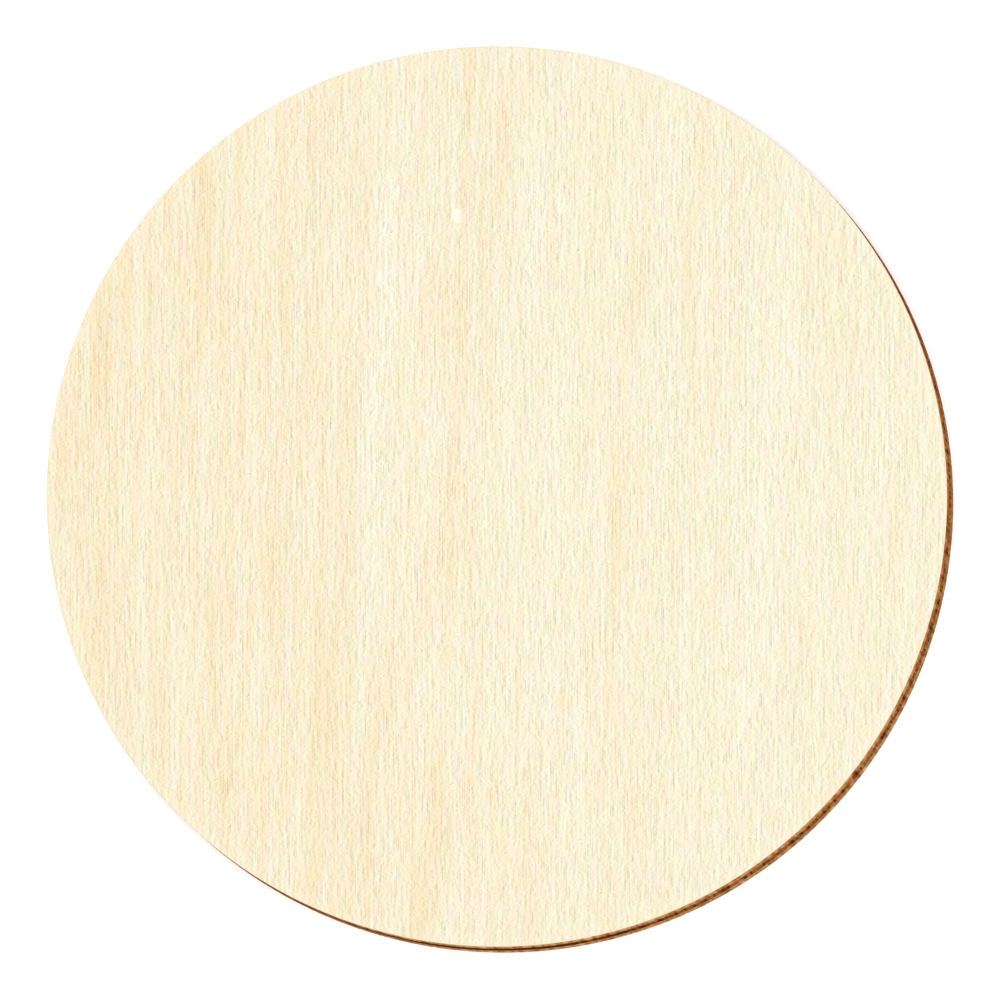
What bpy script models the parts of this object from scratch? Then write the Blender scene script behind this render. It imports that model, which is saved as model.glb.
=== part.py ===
"""A laser-cut plywood disc: three birch veneers, laid crosswise and bonded by two glue films.

The disc lies on its back face. The origin is the centre of that face, +Z comes up
through the good face, and the grain of the two outer veneers runs along Y.
"""

import math

import bmesh
import bpy

# Driving dimensions, in metres.
DISC_DIAMETER = 0.100
BOARD_THICKNESS = 0.0030
GLUE_FILM = 0.00008
BOND_GAP = 0.00001
ARRIS_WIDTH = 0.00008

# How finely the round rim and its eased corner are divided.
RIM_SEGMENTS = 180
ARRIS_SEGMENTS = 2
SHARP_ANGLE = math.radians(30)

# Linear colours: sanded pale birch, the scorched wall that the beam leaves, and cured resin.
BIRCH_FACE = (0.78, 0.70, 0.54)
BIRCH_CORE = (0.70, 0.58, 0.40)
CHARRED_OUTER = (0.34, 0.16, 0.07)
CHARRED_CORE = (0.17, 0.06, 0.02)
GLUE_RESIN = (0.09, 0.045, 0.02)

# The bond takes both films and the hair of air on each side of them; three equal veneers share the rest.
BOND_THICKNESS = GLUE_FILM + 2 * BOND_GAP
VENEER_THICKNESS = (BOARD_THICKNESS - 2 * BOND_THICKNESS) / 3


def clear_scene():
    """Removes what the file opened with."""
    for thing in list(bpy.data.objects):
        bpy.data.objects.remove(thing)


def finish_material(name, colour, roughness):
    """A plain non-metal finish."""
    material = bpy.data.materials.new(name)
    material.use_nodes = True
    shader = material.node_tree.nodes["Principled BSDF"]
    shader.inputs["Base Color"].default_value = (*colour, 1.0)
    shader.inputs["Roughness"].default_value = roughness
    shader.inputs["Metallic"].default_value = 0.0
    return material


def cut_disc(name, low, high):
    """The mesh of one round layer between two heights, centred on its own middle."""
    shape = bmesh.new()
    bmesh.ops.create_cone(
        shape,
        cap_ends=True,
        segments=RIM_SEGMENTS,
        radius1=DISC_DIAMETER / 2,
        radius2=DISC_DIAMETER / 2,
        depth=high - low,
    )
    mesh = bpy.data.meshes.new(name)
    shape.to_mesh(mesh)
    shape.free()
    return mesh


def paint_wall(mesh):
    """Gives the rim the second material, and leaves the two flat sides with the first."""
    for polygon in mesh.polygons:
        polygon.material_index = 0 if abs(polygon.normal.z) > 0.5 else 1


def ease_arris(layer, side):
    """Rounds one outer corner of a veneer: side is +1 for the upper rim and -1 for the lower."""
    weights = layer.data.attributes.new("bevel_weight_edge", "FLOAT", "EDGE")
    points = layer.data.vertices
    for edge in layer.data.edges:
        on_rim = all(points[index].co.z * side > 0 for index in edge.vertices)
        weights.data[edge.index].value = 1.0 if on_rim else 0.0
    bevel = layer.modifiers.new("eased_arris", "BEVEL")
    bevel.limit_method = "WEIGHT"
    bevel.width = ARRIS_WIDTH
    bevel.segments = ARRIS_SEGMENTS


def add_layer(collection, name, low, high, flat_finish, wall_finish):
    """One layer of the board as its own object, standing at its own height."""
    mesh = cut_disc(name, low, high)
    mesh.materials.append(flat_finish)
    mesh.materials.append(wall_finish)
    paint_wall(mesh)
    mesh.shade_smooth()
    mesh.set_sharp_from_angle(angle=SHARP_ANGLE)
    layer = bpy.data.objects.new(name, mesh)
    layer.location.z = (low + high) / 2
    collection.objects.link(layer)
    return layer


def build_disc():
    """Lays up the board from the back face to the good face."""
    board = bpy.data.collections.new("birch_plywood_disc")
    bpy.context.scene.collection.children.link(board)

    sanded_birch = finish_material("sanded_birch", BIRCH_FACE, 0.62)
    raw_core = finish_material("raw_core_birch", BIRCH_CORE, 0.70)
    charred_outer = finish_material("charred_outer_ply", CHARRED_OUTER, 0.80)
    charred_core = finish_material("charred_core_ply", CHARRED_CORE, 0.85)
    glue_resin = finish_material("glue_resin", GLUE_RESIN, 0.45)

    stack = (
        ("back_veneer", sanded_birch, charred_outer),
        ("core_veneer", raw_core, charred_core),
        ("face_veneer", sanded_birch, charred_outer),
    )
    layers = {}
    for place, (name, flat_finish, wall_finish) in enumerate(stack):
        low = place * (VENEER_THICKNESS + BOND_THICKNESS)
        high = low + VENEER_THICKNESS
        layers[name] = add_layer(board, name, low, high, flat_finish, wall_finish)

    for place, name in enumerate(("lower_glue_film", "upper_glue_film")):
        low = (place + 1) * VENEER_THICKNESS + place * BOND_THICKNESS + BOND_GAP
        add_layer(board, name, low, low + GLUE_FILM, glue_resin, glue_resin)

    ease_arris(layers["face_veneer"], +1)
    ease_arris(layers["back_veneer"], -1)


clear_scene()
build_disc()
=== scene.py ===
import math

import bpy
import numpy as np
from mathutils import Matrix, Vector, geometry, noise


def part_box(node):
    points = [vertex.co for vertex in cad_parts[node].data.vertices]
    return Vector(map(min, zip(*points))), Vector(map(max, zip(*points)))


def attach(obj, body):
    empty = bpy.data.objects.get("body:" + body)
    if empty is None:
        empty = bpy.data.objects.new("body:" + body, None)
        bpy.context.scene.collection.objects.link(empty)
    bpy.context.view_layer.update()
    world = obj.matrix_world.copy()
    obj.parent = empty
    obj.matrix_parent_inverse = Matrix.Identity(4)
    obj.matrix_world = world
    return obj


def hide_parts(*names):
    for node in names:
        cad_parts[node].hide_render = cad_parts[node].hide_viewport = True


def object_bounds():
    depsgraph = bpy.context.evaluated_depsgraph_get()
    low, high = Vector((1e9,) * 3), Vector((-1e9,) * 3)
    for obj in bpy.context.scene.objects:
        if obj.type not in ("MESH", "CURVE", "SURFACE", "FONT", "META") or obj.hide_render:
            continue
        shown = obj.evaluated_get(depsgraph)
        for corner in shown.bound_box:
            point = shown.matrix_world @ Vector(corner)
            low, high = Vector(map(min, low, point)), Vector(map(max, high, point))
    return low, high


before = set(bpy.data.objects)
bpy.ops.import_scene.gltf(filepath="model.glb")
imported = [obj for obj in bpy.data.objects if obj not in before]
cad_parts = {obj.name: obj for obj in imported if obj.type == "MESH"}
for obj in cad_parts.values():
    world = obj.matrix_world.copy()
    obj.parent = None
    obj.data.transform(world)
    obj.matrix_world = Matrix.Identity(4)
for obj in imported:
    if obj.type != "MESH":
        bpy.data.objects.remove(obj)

cad_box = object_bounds()

# ---- The view -------------------------------------------------------------------------------
# A long-lens view camera looks down on the disc from its near right. Its back stays level with
# the good face, so the disc is truly round in the frame, and its lens is shifted on a cranked
# stand, so that the cut edge shows along the lower right.
lens_length = 1200.0
film_width = 36.0
view_width = 0.11104
middle_of_view = Vector((0.00034, -0.00038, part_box("face_veneer")[1].z))
line_of_sight = Vector((0.2460, -0.2360, 1.0)).normalized()
viewing_distance = view_width * lens_length / film_width

level_back = np.array((
    (1.0, 0.0, line_of_sight.x),
    (0.0, 1.0, line_of_sight.y),
    (0.0, 0.0, line_of_sight.z),
))
crank, stretch, swing = np.linalg.svd(level_back)
if np.linalg.det(crank) < 0:
    crank[:, 2] *= -1
    swing[2] *= -1

camera_stand = bpy.data.objects.new("camera_stand", None)
bpy.context.scene.collection.objects.link(camera_stand)
camera_stand.matrix_world = (
    Matrix.Translation(middle_of_view + viewing_distance * line_of_sight)
    @ Matrix(crank.tolist()).to_4x4()
    @ Matrix.Diagonal((*stretch.tolist(), 1.0))
)
view_camera = bpy.data.objects.new("view_camera", bpy.data.cameras.new("view_camera"))
bpy.context.scene.collection.objects.link(view_camera)
view_camera.parent = camera_stand
view_camera.rotation_mode = "QUATERNION"
view_camera.rotation_quaternion = Matrix(swing.tolist()).to_quaternion()
view_camera.data.lens = lens_length
view_camera.data.sensor_width = film_width
view_camera.data.clip_start = viewing_distance / 10
view_camera.data.clip_end = viewing_distance * 3
bpy.context.scene.camera = view_camera

# ---- The table and the light ----------------------------------------------------------------
# A plain white matt table under a white tent, with one broad soft panel overhead and a little
# towards the viewer. The light is full enough for the table to go quite white round the disc.
table_half_width = 4.0
table_gap = 0.00002
table_white = (0.98, 0.98, 0.98, 1.0)
tent_brightness = 1.38
panel_size = 1.6
panel_height = 1.7
panel_power = 9.5
panel_place = Vector((0.25, -0.45, panel_height))

table_mesh = bpy.data.meshes.new("table_top")
table_corners = [
    (side_x * table_half_width, side_y * table_half_width, cad_box[0].z - table_gap)
    for side_x, side_y in ((-1, -1), (1, -1), (1, 1), (-1, 1))
]
table_mesh.from_pydata(table_corners, [], [(0, 1, 2, 3)])
table_top = bpy.data.objects.new("table_top", table_mesh)
bpy.context.scene.collection.objects.link(table_top)
table_finish = bpy.data.materials.new("white_matt_table")
table_finish.use_nodes = True
table_shader = table_finish.node_tree.nodes["Principled BSDF"]
table_shader.inputs["Base Color"].default_value = table_white
table_shader.inputs["Roughness"].default_value = 1.0
table_shader.inputs["Specular IOR Level"].default_value = 0.0
table_mesh.materials.append(table_finish)

tent = bpy.data.worlds.new("white_tent")
tent.use_nodes = True
tent.node_tree.nodes["Background"].inputs["Color"].default_value = (1.0, 1.0, 1.0, 1.0)
tent.node_tree.nodes["Background"].inputs["Strength"].default_value = tent_brightness
bpy.context.scene.world = tent

panel = bpy.data.objects.new("soft_panel", bpy.data.lights.new("soft_panel", "AREA"))
panel.data.shape = "SQUARE"
panel.data.size = panel_size
panel.data.energy = panel_power
panel.location = panel_place
panel.rotation_mode = "QUATERNION"
panel.rotation_quaternion = (panel_place - middle_of_view).to_track_quat("Z", "Y")
bpy.context.scene.collection.objects.link(panel)
bpy.context.scene.view_settings.view_transform = "Standard"

# ---- Back veneer ----------------------------------------------------------------------------
# The lowest of three sheets peeled off a birch log, dried and sanded, with its grain along Y.
# Its lower side is the disc's back: open vessel lines, a few torn fibres, and the brown smoke
# that the beam leaves round the rim where it comes out. Its wall is scorched by the cut.
mm = 0.001
rim_steps = 1800
wall_steps = 6
arris_steps = 3
wall_face, open_face, hidden_face = range(3)
disc_radius = (cad_box[1].x - cad_box[0].x) / 2 / mm
board_height = (cad_box[1].z - cad_box[0].z) / mm
eased_arris = 0.08
bare_wall = 0.14
arris_char = 1 / 6
burnt_away = 0.07
striation_depth, striation_width = 0.014, 0.30


def layer_heights(node):
    """The lowest and highest level of one layer of the board, in millimetres."""
    low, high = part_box(node)
    return low.z / mm, high.z / mm


def wall_profile(low, high, eased_low=0.0, eased_high=0.0):
    """Steps up the cut wall: height, inset from the wall's line and share of its roughness."""
    corner = [math.pi / 2 * step / arris_steps for step in range(1, arris_steps + 1)]
    lower = [
        (low + eased_low * (1 - math.sin(turn)), eased_low * (1 - math.cos(turn)), math.cos(turn))
        for turn in reversed(corner)
    ]
    upper = [
        (high - eased_high * (1 - math.sin(turn)), eased_high * (1 - math.cos(turn)), math.cos(turn))
        for turn in corner
    ]
    start, end = low + eased_low, high - eased_high
    straight = [
        (start + (end - start) * step / wall_steps, 0.0, 1.0) for step in range(wall_steps + 1)
    ]
    return (lower if eased_low else []) + straight + (upper if eased_high else [])


def scorch_and_shade_at(x, y, height, grain, heat, dwell):
    """How far the beam has charred a spot of the wall, most where it ran along the grain, plus painted
    shade: darker at the far right and near left, where the wall is seen edge-on at the ends of its
    crescent."""
    along, across = (x, y) if grain == "x" else (y, x)
    fibres = noise.noise(Vector((along / 4.0, across / 0.45, height / 0.40 + heat * 9.0)))
    clumps = noise.noise(Vector((along / 2.2, across / 1.1, height / 0.9 + heat * 5.0)))
    pulses = noise.noise(Vector((x / 0.9, y / 0.9, heat)))
    bars = max(noise.noise(Vector((x / 0.7, y / 0.7, 3.0))) - 0.32, 0.0)
    side_on = math.exp(-(along / (0.26 * disc_radius)) ** 2)
    lengthways = 0.62 + 0.14 * (1 - (along / disc_radius) ** 2) + dwell * side_on
    inner = 1 - abs(2 * height / board_height - 1)
    # Painted shade: the wall darkens towards the far right and near left, where it turns edge-on to the
    # view.
    edge_on_shade = max(0.0, 2 * x * y / disc_radius ** 2)
    char_and_shade = bare_wall + heat * (lengthways + 0.45 * fibres + 0.35 * clumps)
    char_and_shade += (0.2 + 0.25 * dwell) * edge_on_shade ** 2
    return char_and_shade + 0.10 * pulses + 0.9 * bars + 0.12 * inner


row_spacing = 0.27
rim_clearance = 0.25
least_half_length, most_growth = 0.22, 2.3
least_half_width, most_half_width = 0.036, 0.072
vessel_share = 0.62
shortest_gap = 0.12


def vessel_grooves(reach, seed):
    """Cut-open vessels: centre, half length, half width, depth and lean, in rows along the grain."""
    pick = np.random.default_rng(seed)
    grooves = []
    row = -reach
    while row < reach:
        chord = math.sqrt(max(reach * reach - row * row, 0.0))
        start = -chord + pick.uniform(0.0, 2.0)
        while start < chord:
            half_length = least_half_length + min(pick.gamma(2.0, 0.34), most_growth)
            centre = start + half_length
            off = row + pick.uniform(-0.05, 0.05)
            lean = pick.normal(0.0, 0.012)
            fits = (abs(off) + rim_clearance) ** 2 + (abs(centre) + half_length) ** 2 < reach * reach
            crowding = noise.noise(Vector((off / 6.0, centre / 40.0, seed)))
            if fits and pick.random() < vessel_share + 0.25 * crowding:
                half_width = pick.uniform(least_half_width, most_half_width)
                depth = half_width * pick.uniform(0.35, 0.75)
                grooves.append((off, centre, half_length, half_width, depth, lean))
            start = centre + half_length + pick.exponential(0.9) + shortest_gap
        row += row_spacing + pick.uniform(-0.02, 0.05)
    return grooves


nick_half_width, nick_depth = 0.055, 0.035
lip_half_width, lip_height, lip_offset = 0.06, 0.012, 0.15
clear_gap = 0.5


def torn_fibres(reach, count, seed):
    """Short nicks where the knife or the belt tore a fibre out, each with its pale lip turned up."""
    pick = np.random.default_rng(seed)
    nicks = []
    for _ in range(count):
        radius = reach * math.sqrt(pick.random()) * 0.97
        turn = pick.uniform(0.0, 2 * math.pi)
        x, y = radius * math.cos(turn), radius * math.sin(turn)
        lean = pick.choice((-1.0, 1.0)) * pick.uniform(0.4, 1.4)
        size = pick.uniform(0.18, 0.50)
        nicks.append((x, y, size, nick_half_width, nick_depth, lean))
        lip_x, lip_y = x + lip_offset * math.cos(lean), y - lip_offset * math.sin(lean)
        nicks.append((lip_x, lip_y, size, lip_half_width, -lip_height, lean))
    return nicks


def clear_of(nicks, grooves):
    """The grooves that cross no nick."""
    spots = np.array([nick[:2] for nick in nicks])
    kept = []
    for groove in grooves:
        sideways = np.abs(spots[:, 0] - groove[0])
        lengthways = np.abs(spots[:, 1] - groove[1]) - groove[2]
        if not np.any((sideways < clear_gap) & (lengthways < clear_gap)):
            kept.append(groove)
    return kept


def groove_outline(groove):
    """Six points round a groove's mouth and two along its floor, as x, y and share of depth."""
    x, y, half_length, half_width, _, lean = groove
    ahead = np.array((math.sin(lean), math.cos(lean)))
    aside = np.array((ahead[1], -ahead[0]))
    middle = np.array((x, y))
    outline = []
    for run, swell in ((1.0, 0.0), (0.55, 1.0), (-0.55, 1.0), (-1.0, 0.0), (-0.55, -1.0), (0.55, -1.0)):
        outline.append((*(middle + run * half_length * ahead + swell * half_width * aside), 0.0))
    for run in (0.6, -0.6):
        outline.append((*(middle + run * half_length * ahead), 1.0))
    return outline


def grooved_side(rim, level, facing, grooves):
    """A flat side with its grooves sunk and its lips raised: new points, how sunk each is, and faces."""
    flat = [Vector(point[:2]) for point in rim]
    drop = [0.0] * len(rim)
    shade = [0.0] * len(rim)
    edges = [(step, (step + 1) % len(rim)) for step in range(len(rim))]
    for groove in grooves:
        first = len(flat)
        for x, y, sunk in groove_outline(groove):
            flat.append(Vector((x, y)))
            drop.append(sunk * groove[4])
            shade.append(math.copysign(sunk, groove[4]))
        edges += [(first + step, first + (step + 1) % 6) for step in range(6)]
        edges.append((first + 6, first + 7))
    spots, _, faces, sources, _, _ = geometry.delaunay_2d_cdt(flat, edges, [], 0, 1e-6, True)
    source = [found[0] if found else None for found in sources]
    points = [
        (spot.x, spot.y, level - facing * (drop[origin] if origin is not None else 0.0))
        for spot, origin in zip(spots, source)
    ]
    depths = [shade[origin] if origin is not None else 0.0 for origin in source]
    turned = []
    for face in faces:
        one, two, three = (spots[corner] for corner in face)
        upward = (two - one).cross(three - one) > 0
        turned.append(tuple(face) if upward == (facing > 0) else tuple(reversed(face)))
    return points, depths, turned, source


def scorched_rings(profile, grain, heat, dwell):
    """The rings of points up the cut wall, eaten in where it is charred, and how dark each is: its char
    plus painted shade at the far right and near left.
    """
    turns = np.arange(rim_steps) * (2 * math.pi / rim_steps)
    points, scorch_and_shade = [], []
    for height, inset, roughness in profile:
        line = disc_radius - inset
        for turn in turns:
            cosine, sine = math.cos(turn), math.sin(turn)
            char_and_shade = scorch_and_shade_at(line * cosine, line * sine, height, grain, heat, dwell)
            char_and_shade = min(max(char_and_shade, bare_wall), 1.0) * max(0.0, 1 - (1 - roughness) / arris_char)
            cell = Vector((line * cosine / striation_width, line * sine / striation_width, 0.0))
            striation = noise.noise(cell)
            eaten = roughness * (burnt_away * heat * char_and_shade - striation_depth * striation)
            points.append(((line - eaten) * cosine, (line - eaten) * sine, height))
            scorch_and_shade.append(char_and_shade)
    return points, scorch_and_shade


def join_rings(rings):
    """The faces from each ring of the wall to the next."""
    faces = []
    for row in range(rings - 1):
        below, above = row * rim_steps, (row + 1) * rim_steps
        for step in range(rim_steps):
            after = (step + 1) % rim_steps
            faces.append((below + step, below + after, above + after, above + step))
    return faces


def lay_bake_map(mesh, points, faces, kinds, low, high, facing):
    """Lays out the surface to bake: the open side is a large round, the wall a ring about it, and a
    hidden side a spot in a corner."""
    bake_map = mesh.uv_layers.new(name="OFBake")
    spots = np.array(points)[[corner for face in faces for corner in face]]
    kind = np.repeat(kinds, [len(face) for face in faces])
    radius = np.maximum(np.hypot(spots[:, 0], spots[:, 1]), 1e-9)
    inner, outer = (0.455, 0.492) if facing else (0.30, 0.49)
    climb = np.clip((spots[:, 2] - low) / (high - low), 0.0, 1.0)
    climb = 1 - climb if facing > 0 else climb
    around = spots[:, :2] / radius[:, None]
    on_wall = 0.5 + around * (inner + (outer - inner) * climb)[:, None]
    on_open = 0.5 + spots[:, :2] * (inner / disc_radius)
    hidden_centre = np.where(spots[:, 2:] > (low + high) / 2, 0.07, 0.93)
    hidden_round = 0.055
    on_hidden = hidden_centre + spots[:, :2] * (hidden_round / disc_radius)
    uv = np.where((kind == open_face)[:, None], on_open, on_hidden)
    uv = np.where((kind == wall_face)[:, None], on_wall, uv)
    bake_map.uv.foreach_set("vector", uv.astype(np.float32).ravel())


def round_layer(
    name, low, high, grain, heat, dwell=0.0,
    eased_low=0.0, eased_high=0.0, grooves=(), facing=0,
):
    """One closed layer of the board: its scorched wall, its flat sides and its bake map."""
    profile = wall_profile(low, high, eased_low, eased_high)
    rings = len(profile)
    points, scorch_and_shade = scorched_rings(profile, grain, heat, dwell)
    faces = join_rings(rings)
    kinds = [wall_face] * len(faces)
    top_ring = list(range((rings - 1) * rim_steps, rings * rim_steps))
    bottom_ring = list(range(rim_steps))
    depth = [0.0] * len(points)
    for side, ring, level in ((1, top_ring, high), (-1, bottom_ring, low)):
        if side != facing:
            faces.append(tuple(ring) if side > 0 else tuple(reversed(ring)))
            kinds.append(hidden_face)
            continue
        rim = [points[spot] for spot in ring]
        fresh, depths, triangles, source = grooved_side(rim, level, side, grooves)
        place = {}
        for spot, origin in enumerate(source):
            if origin is not None and origin < rim_steps:
                place[spot] = ring[origin]
            else:
                place[spot] = len(points)
                points.append(fresh[spot])
                depth.append(depths[spot])
                scorch_and_shade.append(0.0)
        faces += [tuple(place[corner] for corner in triangle) for triangle in triangles]
        kinds += [open_face] * len(triangles)

    mesh = bpy.data.meshes.new(name)
    mesh.from_pydata([(x * mm, y * mm, z * mm) for x, y, z in points], [], faces)
    mesh.polygons.foreach_set("material_index", [int(kind == wall_face) for kind in kinds])
    mesh.polygons.foreach_set("use_smooth", [kind == wall_face for kind in kinds])
    for label, values in (("scorch_and_shade", scorch_and_shade), ("groove", depth)):
        mesh.attributes.new(label, "FLOAT", "POINT").data.foreach_set("value", values)
    lay_bake_map(mesh, points, faces, kinds, low, high, facing)
    mesh.validate()
    mesh.update()
    layer = bpy.data.objects.new(name, mesh)
    bpy.context.scene.collection.objects.link(layer)
    return layer


def start_finish(name, roughness, gloss):
    """A new finish: its material, its node tree and its shader."""
    finish = bpy.data.materials.new(name)
    finish.use_nodes = True
    tree = finish.node_tree
    shader = tree.nodes["Principled BSDF"]
    shader.inputs["Roughness"].default_value = roughness
    shader.inputs["Specular IOR Level"].default_value = gloss
    return finish, tree, shader


def feed(tree, socket, value):
    """Links a socket, or sets its value."""
    if isinstance(value, bpy.types.NodeSocket):
        tree.links.new(value, socket)
    else:
        socket.default_value = value


def work_out(tree, operation, first, second=0.0, third=0.0, clamp=False):
    """One step of arithmetic."""
    step = tree.nodes.new("ShaderNodeMath")
    step.operation = operation
    step.use_clamp = clamp
    for socket, value in zip(step.inputs, (first, second, third)):
        feed(tree, socket, value)
    return step.outputs[0]


def wood(tree):
    """Any spot in the board, in metres."""
    return tree.nodes.new("ShaderNodeTexCoord").outputs["Object"]


def growth_bands(tree):
    """The same spot with the slow lean of the growth bands taken out: none at the left, then 1 in 24."""
    spot = tree.nodes.new("ShaderNodeSeparateXYZ")
    tree.links.new(wood(tree), spot.inputs[0])
    x, y, z = spot.outputs
    lean = work_out(tree, "MULTIPLY_ADD", x, 1 / (25.0 * mm), 45.0 / 25.0, clamp=True)
    lean = work_out(tree, "MULTIPLY", lean, -1 / 24)
    straight = tree.nodes.new("ShaderNodeCombineXYZ")
    for socket, value in zip(straight.inputs, (work_out(tree, "MULTIPLY_ADD", lean, y, x), y, z)):
        tree.links.new(value, socket)
    return straight.outputs[0]


def in_cells(tree, place, size, shift=(0.0, 0.0, 0.0)):
    """A spot counted in cells of this size in millimetres."""
    cells = tree.nodes.new("ShaderNodeMapping")
    tree.links.new(place, cells.inputs["Vector"])
    cells.inputs["Location"].default_value = shift
    cells.inputs["Scale"].default_value = [1 / (length * mm) for length in size]
    return cells.outputs["Vector"]


def mottle(tree, place, size, shift=0.0, detail=0.0, wander=0.0, aside=0.0):
    """Uneven tone from -0.5 to 0.5 in cells of this size, pulled about by some wander."""
    cloud = tree.nodes.new("ShaderNodeTexNoise")
    cloud.inputs["Scale"].default_value = 1.0
    cloud.inputs["Detail"].default_value = detail
    cloud.inputs["Distortion"].default_value = wander
    start = (shift + aside, 0.37 * shift, 0.0)
    tree.links.new(in_cells(tree, place, size, start), cloud.inputs["Vector"])
    return work_out(tree, "SUBTRACT", cloud.outputs["Fac"], 0.5)


def fibre_tone(tree, place, size, shift, wander=0.0):
    """Fibres that each stand out from their neighbour: the mottle less the mottle one cell aside."""
    own = mottle(tree, place, size, shift, 0.0, wander)
    return work_out(tree, "SUBTRACT", own, mottle(tree, place, size, shift, 0.0, wander, 1.1))


def tone_scale(tree, factor, stops):
    """A run of colours, each at its own place from 0 to 1."""
    scale = tree.nodes.new("ShaderNodeValToRGB")
    run = scale.color_ramp.elements
    while len(run) < len(stops):
        run.new(0.5)
    for stop, (place, colour) in zip(run, stops):
        stop.position = place
        stop.color = (*colour, 1.0)
    feed(tree, scale.inputs["Fac"], factor)
    return scale.outputs["Color"]


def stain(tree, factor, under, over, manner="MIX"):
    """Lays one colour over another by a factor."""
    layer = tree.nodes.new("ShaderNodeMix")
    layer.data_type = "RGBA"
    layer.blend_type = manner
    feed(tree, layer.inputs["Factor"], factor)
    for socket, colour in ((layer.inputs[6], under), (layer.inputs[7], over)):
        feed(tree, socket, colour if isinstance(colour, bpy.types.NodeSocket) else (*colour, 1.0))
    return layer.outputs[2]


def measure(tree, label):
    """A value that the mesh carries, such as how deep a groove is."""
    reading = tree.nodes.new("ShaderNodeAttribute")
    reading.attribute_name = label
    return reading.outputs["Fac"]


def raise_fibres(tree, shader, height, lift):
    """Relief too fine for the mesh."""
    relief = tree.nodes.new("ShaderNodeBump")
    relief.inputs["Strength"].default_value = 1.0
    relief.inputs["Distance"].default_value = lift * mm
    feed(tree, relief.inputs["Height"], height)
    tree.links.new(relief.outputs["Normal"], shader.inputs["Normal"])


def streaks_of(tree, bands, streaks):
    """The sum of soft long streaks: x, y, half width, half length and strength of each."""
    total = 0.0
    for x, y, half_width, half_length, strength in streaks:
        centre = (-x / half_width, -y / half_length, 0.0)
        reach = tree.nodes.new("ShaderNodeVectorMath")
        reach.operation = "LENGTH"
        tree.links.new(in_cells(tree, bands, (half_width, half_length, 1000.0), centre), reach.inputs[0])
        soft = tree.nodes.new("ShaderNodeMapRange")
        soft.interpolation_type = "SMOOTHSTEP"
        soft.inputs["From Min"].default_value = 1.0
        soft.inputs["From Max"].default_value = 0.0
        tree.links.new(reach.outputs["Value"], soft.inputs["Value"])
        total = work_out(tree, "MULTIPLY_ADD", soft.outputs["Result"], strength, total)
    return total


def birch_tone(tree, bands, spot, fibres, seed):
    """The pale and dark of the wood: slow bands, and fibres from long and faint to short and strong."""
    tone = 0.5
    for layer, weight in (
        (mottle(tree, bands, (3.5, 90.0, 3.5), seed, 1.0), 0.09),
        (fibre_tone(tree, spot, (0.28, 26.0, 0.28), seed + 3.0), 0.15),
        (fibre_tone(tree, spot, (0.25, 7.0, 0.25), seed + 10.0), 0.29),
        (fibres, 0.36),
        (fibre_tone(tree, spot, (0.24, 0.31, 0.24), seed + 4.0, 0.9), 0.57),
    ):
        tone = work_out(tree, "MULTIPLY_ADD", layer, weight, tone)
    return tone_scale(tree, tone, (
        (0.0, (0.480, 0.444, 0.350)),
        (0.5, (0.6220, 0.5880, 0.4890)),
        (1.0, (0.706, 0.673, 0.579)),
    ))


def warm_cast(tree, bands, streaks, drift, seed):
    """The cast of the bands, from cool white to honey: a drift across the disc, streaks and threads."""
    across = tree.nodes.new("ShaderNodeSeparateXYZ")
    tree.links.new(in_cells(tree, bands, (disc_radius,) * 3), across.inputs[0])
    warmth = work_out(tree, "MULTIPLY_ADD", across.outputs["X"], drift, streaks_of(tree, bands, streaks))
    threads = mottle(tree, bands, (0.9, 34.0, 0.9), seed + 1.0, 1.0)
    warmth = work_out(tree, "MULTIPLY", warmth, work_out(tree, "MULTIPLY_ADD", threads, 2.0, 1.0))
    patches = mottle(tree, bands, (1.1, 15.0, 1.1), seed + 8.0)
    warmth = work_out(tree, "MULTIPLY_ADD", patches, 1.5, warmth)
    return tone_scale(tree, work_out(tree, "MULTIPLY_ADD", warmth, 0.5, 0.5), (
        (0.0, (1.0, 1.0, 1.0)),
        (0.5, (0.993, 0.966, 0.920)),
        (1.0, (0.988, 0.894, 0.765)),
    ))


def vary_hue(tree, colour, bands, spot, seed):
    """Small patches that turn a little pink or green, or a little more or less yellow."""
    for place, size, shift, one, other in (
        (spot, (0.80, 1.8, 0.80), 5.0, (1.0, 0.964, 0.978), (0.966, 0.996, 0.978)),
        (spot, (0.65, 1.8, 0.65), 6.0, (0.994, 0.990, 0.906), (0.999, 1.0, 1.0)),
        (bands, (1.00, 12.0, 1.00), 7.0, (1.0, 0.986, 0.990), (0.986, 0.997, 0.990)),
    ):
        hue = work_out(tree, "ADD", mottle(tree, place, size, seed + shift), 0.5)
        colour = stain(tree, 1.0, colour, tone_scale(tree, hue, ((0.3, one), (0.7, other))), "MULTIPLY")
    return colour


def mark_grooves(tree, colour):
    """Darkens the floor of each vessel and nick, partly dust in the open pores and partly painted shade
    down the narrow pits, and bleaches each raised lip.
    """
    # Painted shade with some dust: the deeper into a groove, the darker its colour.
    pit_dust_and_shade = work_out(tree, "MULTIPLY", measure(tree, "groove"), 0.48, clamp=True)
    colour = stain(tree, pit_dust_and_shade, colour, (0.76, 0.745, 0.715), "MULTIPLY")
    lip = work_out(tree, "MULTIPLY", measure(tree, "groove"), -0.9, clamp=True)
    return stain(tree, lip, colour, (0.685, 0.685, 0.585))


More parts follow.
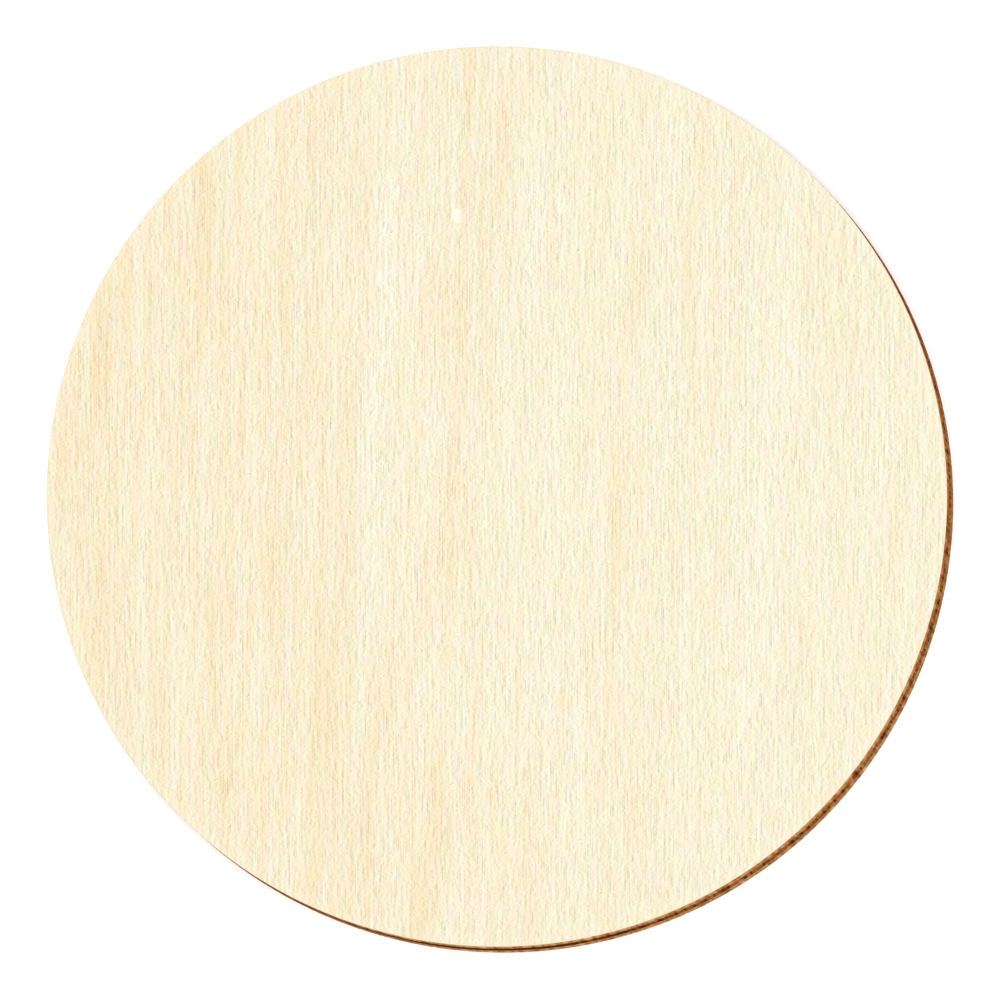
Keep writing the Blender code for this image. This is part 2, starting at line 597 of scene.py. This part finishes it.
def smoke_rim(tree, colour, smoke, seed):
    """Brown smoke in from the rim, over this share of the radius and cloudy at its inner edge."""
    rim = tree.nodes.new("ShaderNodeVectorMath")
    rim.operation = "LENGTH"
    tree.links.new(in_cells(tree, wood(tree), (disc_radius, disc_radius, 1000.0)), rim.inputs[0])
    smudge = mottle(tree, wood(tree), (3.0, 3.0, 3.0), seed + 9.0, 3.0)
    edge = tree.nodes.new("ShaderNodeMapRange")
    edge.interpolation_type = "SMOOTHSTEP"
    tree.links.new(rim.outputs["Value"], edge.inputs["Value"])
    feed(tree, edge.inputs["From Min"], work_out(tree, "MULTIPLY_ADD", smudge, smoke, 1.0 - smoke / 2))
    edge.inputs["From Max"].default_value = 1.0 + 0.3 * smoke
    return stain(tree, edge.outputs["Result"], colour, (0.36, 0.19, 0.09))


def sanded_birch(name, streaks, drift, seed, smoke):
    """Bare sanded birch: tone, warm and pale streaks, patches of hue, vessels and a smoked rim."""
    finish, tree, shader = start_finish(name, 0.62, 0.25)
    spot, bands = wood(tree), growth_bands(tree)
    fibres = fibre_tone(tree, spot, (0.27, 1.9, 0.27), seed + 2.0, 0.4)
    colour = birch_tone(tree, bands, spot, fibres, seed)
    colour = stain(tree, 1.0, colour, warm_cast(tree, bands, streaks, drift, seed), "MULTIPLY")
    colour = vary_hue(tree, colour, bands, spot, seed)
    colour = mark_grooves(tree, colour)
    colour = smoke_rim(tree, colour, smoke, seed)
    tree.links.new(colour, shader.inputs["Base Color"])
    raise_fibres(tree, shader, fibres, 0.012)
    return finish


clean_birch = (0.62, 0.57, 0.45)


def scorched_wall(name, fibre_cells, contrast, tan, brown, black):
    """A wall cut by the beam: tan where it only browned, near black in its charred fibre ends, and
    darker again with painted shade at the far right and near left.
    """
    finish, tree, shader = start_finish(name, 0.85, 0.0)
    scorch_and_shade = measure(tree, "scorch_and_shade")
    soot = mottle(tree, wood(tree), (0.16, 0.16, 0.13), 3.0, 1.0)
    blocks = work_out(tree, "MULTIPLY", mottle(tree, wood(tree), fibre_cells, 11.0), 5.0, clamp=True)
    bars = mottle(tree, wood(tree), (0.45, 0.45, 2.4), 17.0)
    char_and_shade = scorch_and_shade
    for layer, weight in ((blocks, contrast), (bars, 0.45), (soot, 0.35)):
        char_and_shade = work_out(tree, "MULTIPLY_ADD", layer, weight, char_and_shade)
    eased_away = work_out(tree, "MULTIPLY", scorch_and_shade, 8.0)
    char_and_shade = work_out(tree, "MINIMUM", work_out(tree, "MAXIMUM", char_and_shade, bare_wall), eased_away)
    colour = tone_scale(tree, char_and_shade, ((0.0, clean_birch), (0.13, tan), (0.5, brown), (0.9, black)))
    tar = work_out(tree, "ADD", mottle(tree, wood(tree), (0.5, 0.5, 1.6), 23.0, 1.0), 0.5)
    tint = tone_scale(tree, tar, ((0.35, (1.0, 0.84, 0.84)), (0.65, (0.92, 1.0, 0.85))))
    colour = stain(tree, 1.0, colour, tint, "MULTIPLY")
    tree.links.new(colour, shader.inputs["Base Color"])
    raise_fibres(tree, shader, soot, 0.02)
    return finish


def bond(piece, node):
    """Fixes a finished piece to the board in place of its plain solid."""
    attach(piece, "root")
    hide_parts(node)


outer_heat, outer_dwell = 0.26, 0.45
nicked_reach = disc_radius - 1.0
vessel_reach = disc_radius - 0.35
back_low, back_high = layer_heights("back_veneer")
back_nicks = torn_fibres(nicked_reach, count=50, seed=21)
back_grooves = clear_of(back_nicks, vessel_grooves(vessel_reach, seed=11)) + back_nicks
back_veneer = round_layer(
    "birch_back_veneer", back_low, back_high, "y", outer_heat, outer_dwell,
    eased_low=eased_arris, grooves=back_grooves, facing=-1,
)
back_streaks = (
    (-22.0, 8.0, 5.0, 60.0, 0.5),
    (-6.0, -15.0, 1.2, 30.0, 0.5),
    (14.0, -12.0, 3.0, 50.0, 0.4),
    (31.0, 5.0, 4.0, 45.0, -0.6),
)
outer_wall = scorched_wall(
    "scorched_outer_birch",
    fibre_cells=(0.30, 4.0, 1.2),
    contrast=0.12,
    tan=(0.500, 0.325, 0.168),
    brown=(0.264, 0.110, 0.036),
    black=(0.066, 0.015, 0.002),
)
back_finish = sanded_birch("smoked_back_birch", back_streaks, drift=0.1, seed=40.0, smoke=0.10)
back_veneer.data.materials.append(back_finish)
back_veneer.data.materials.append(outer_wall)
bond(back_veneer, "back_veneer")

# ---- Lower glue film ------------------------------------------------------------------------
# A film of resin glue rolled on before pressing. The press cures it hard and dark, and the beam
# leaves its cut edge as a thin, slightly sunken black-brown line round the wall.

film_heat = 0.62


def glue_film(name, node):
    """A hard dark film, its cut edge eaten back a little by the beam."""
    low, high = layer_heights(node)
    film = round_layer(name, low, high, "x", film_heat)
    finish, tree, shader = start_finish(name, 0.45, 0.1)
    cured = work_out(tree, "ADD", mottle(tree, wood(tree), (0.4, 0.4, 0.4), 1.0, 2.0), 0.5)
    colour = tone_scale(tree, cured, ((0.35, (0.16, 0.055, 0.018)), (0.7, (0.06, 0.022, 0.008))))
    tree.links.new(colour, shader.inputs["Base Color"])
    film.data.materials.append(finish)
    film.data.materials.append(finish)
    bond(film, node)


glue_film("lower_resin_film", "lower_glue_film")

# ---- Core veneer ----------------------------------------------------------------------------
# The middle sheet, laid with its grain across the others, along X, which keeps the disc flat.
# The beam dwells longest here, so its wall is the darkest, with charred blocks and eaten pits.
core_heat, core_dwell = 0.42, 1.25
core_low, core_high = layer_heights("core_veneer")
core_veneer = round_layer("birch_core_veneer", core_low, core_high, "x", core_heat, core_dwell)
core_wall = scorched_wall(
    "charred_core_birch",
    fibre_cells=(4.0, 0.27, 1.8),
    contrast=0.36,
    tan=(0.440, 0.245, 0.098),
    brown=(0.236, 0.084, 0.020),
    black=(0.062, 0.012, 0.001),
)
core_veneer.data.materials.append(core_wall)
core_veneer.data.materials.append(core_wall)
bond(core_veneer, "core_veneer")

# ---- Upper glue film ------------------------------------------------------------------------
# The same resin, rolled on between the core and the face veneer and cured in the same press. Its
# cut edge is the upper of the two dark lines round the wall.
glue_film("upper_resin_film", "upper_glue_film")

# ---- Face veneer ----------------------------------------------------------------------------
# The good side: a clear, pale sheet with its grain along Y, sanded flat and left bare. Fine open
# vessels, warm and pale bands, a deeper honey stain at the left rim and one bright fleck.
face_low, face_high = layer_heights("face_veneer")
pale_fleck = (-4.35, 31.15, 1.00, 0.52, -0.012, 0.05)
face_nicks = [*torn_fibres(nicked_reach, count=150, seed=22), pale_fleck]
face_grooves = clear_of(face_nicks, vessel_grooves(vessel_reach, seed=12)) + face_nicks
face_veneer = round_layer(
    "birch_face_veneer", face_low, face_high, "y", outer_heat, outer_dwell,
    eased_high=eased_arris, grooves=face_grooves, facing=1,
)
warm_and_pale_streaks = (
    (-43.8, 16.0, 1.9, 13.0, 1.3),
    (-47.5, 8.0, 2.6, 18.0, 0.6),
    (-41.5, 26.0, 2.2, 9.0, 0.6),
    (-43.8, -14.0, 2.4, 14.0, 0.8),
    (-41.2, -8.0, 1.0, 10.0, 0.5),
    (-33.2, 26.0, 1.6, 16.0, 0.5),
    (-29.6, 30.0, 1.0, 14.0, 0.4),
    (-24.5, 24.0, 1.6, 14.0, 0.4),
    (-25.0, -6.0, 2.4, 14.0, 0.4),
    (-30.0, 5.0, 22.0, 80.0, 0.3),
    (-17.2, -2.0, 1.5, 30.0, 0.5),
    (-18.4, -26.0, 2.6, 26.0, 0.6),
    (-29.7, -31.0, 1.4, 12.0, 0.7),
    (-19.2, -43.0, 1.2, 8.0, 0.6),
    (-12.0, -36.0, 18.0, 26.0, 0.35),
    (8.0, -42.0, 16.0, 20.0, 0.2),
    (-5.4, -34.0, 1.1, 10.0, 1.2),
    (-6.4, -46.0, 2.0, 8.0, 0.7),
    (-5.0, 14.0, 4.5, 60.0, 0.25),
    (-5.2, 3.0, 1.4, 14.0, 0.15),
    (-5.0, 46.0, 1.4, 9.0, 0.45),
    (-0.6, 36.0, 1.2, 18.0, 0.5),
    (13.5, 1.0, 1.3, 28.0, 0.6),
    (20.4, 26.0, 1.2, 18.0, 0.6),
    (14.6, 22.0, 1.0, 10.0, 0.4),
    (4.6, -38.0, 1.4, 14.0, 0.6),
    (34.4, -14.0, 1.8, 9.0, 0.5),
    (37.2, 29.0, 1.4, 9.0, 0.5),
    (-13.4, 14.0, 3.0, 46.0, -0.8),
    (2.9, 36.0, 2.0, 16.0, -0.9),
    (5.0, 8.0, 5.5, 45.0, -0.4),
    (17.7, 14.0, 2.0, 34.0, -0.7),
    (29.0, 0.0, 6.0, 50.0, -0.5),
    (9.9, -22.0, 1.0, 14.0, -0.5),
    (28.0, -32.0, 1.2, 14.0, -0.4),
)
face_finish = sanded_birch(
    "sanded_face_birch", warm_and_pale_streaks, drift=-0.26, seed=0.0, smoke=0.0008,
)
face_veneer.data.materials.append(face_finish)
face_veneer.data.materials.append(outer_wall)
bond(face_veneer, "face_veneer")
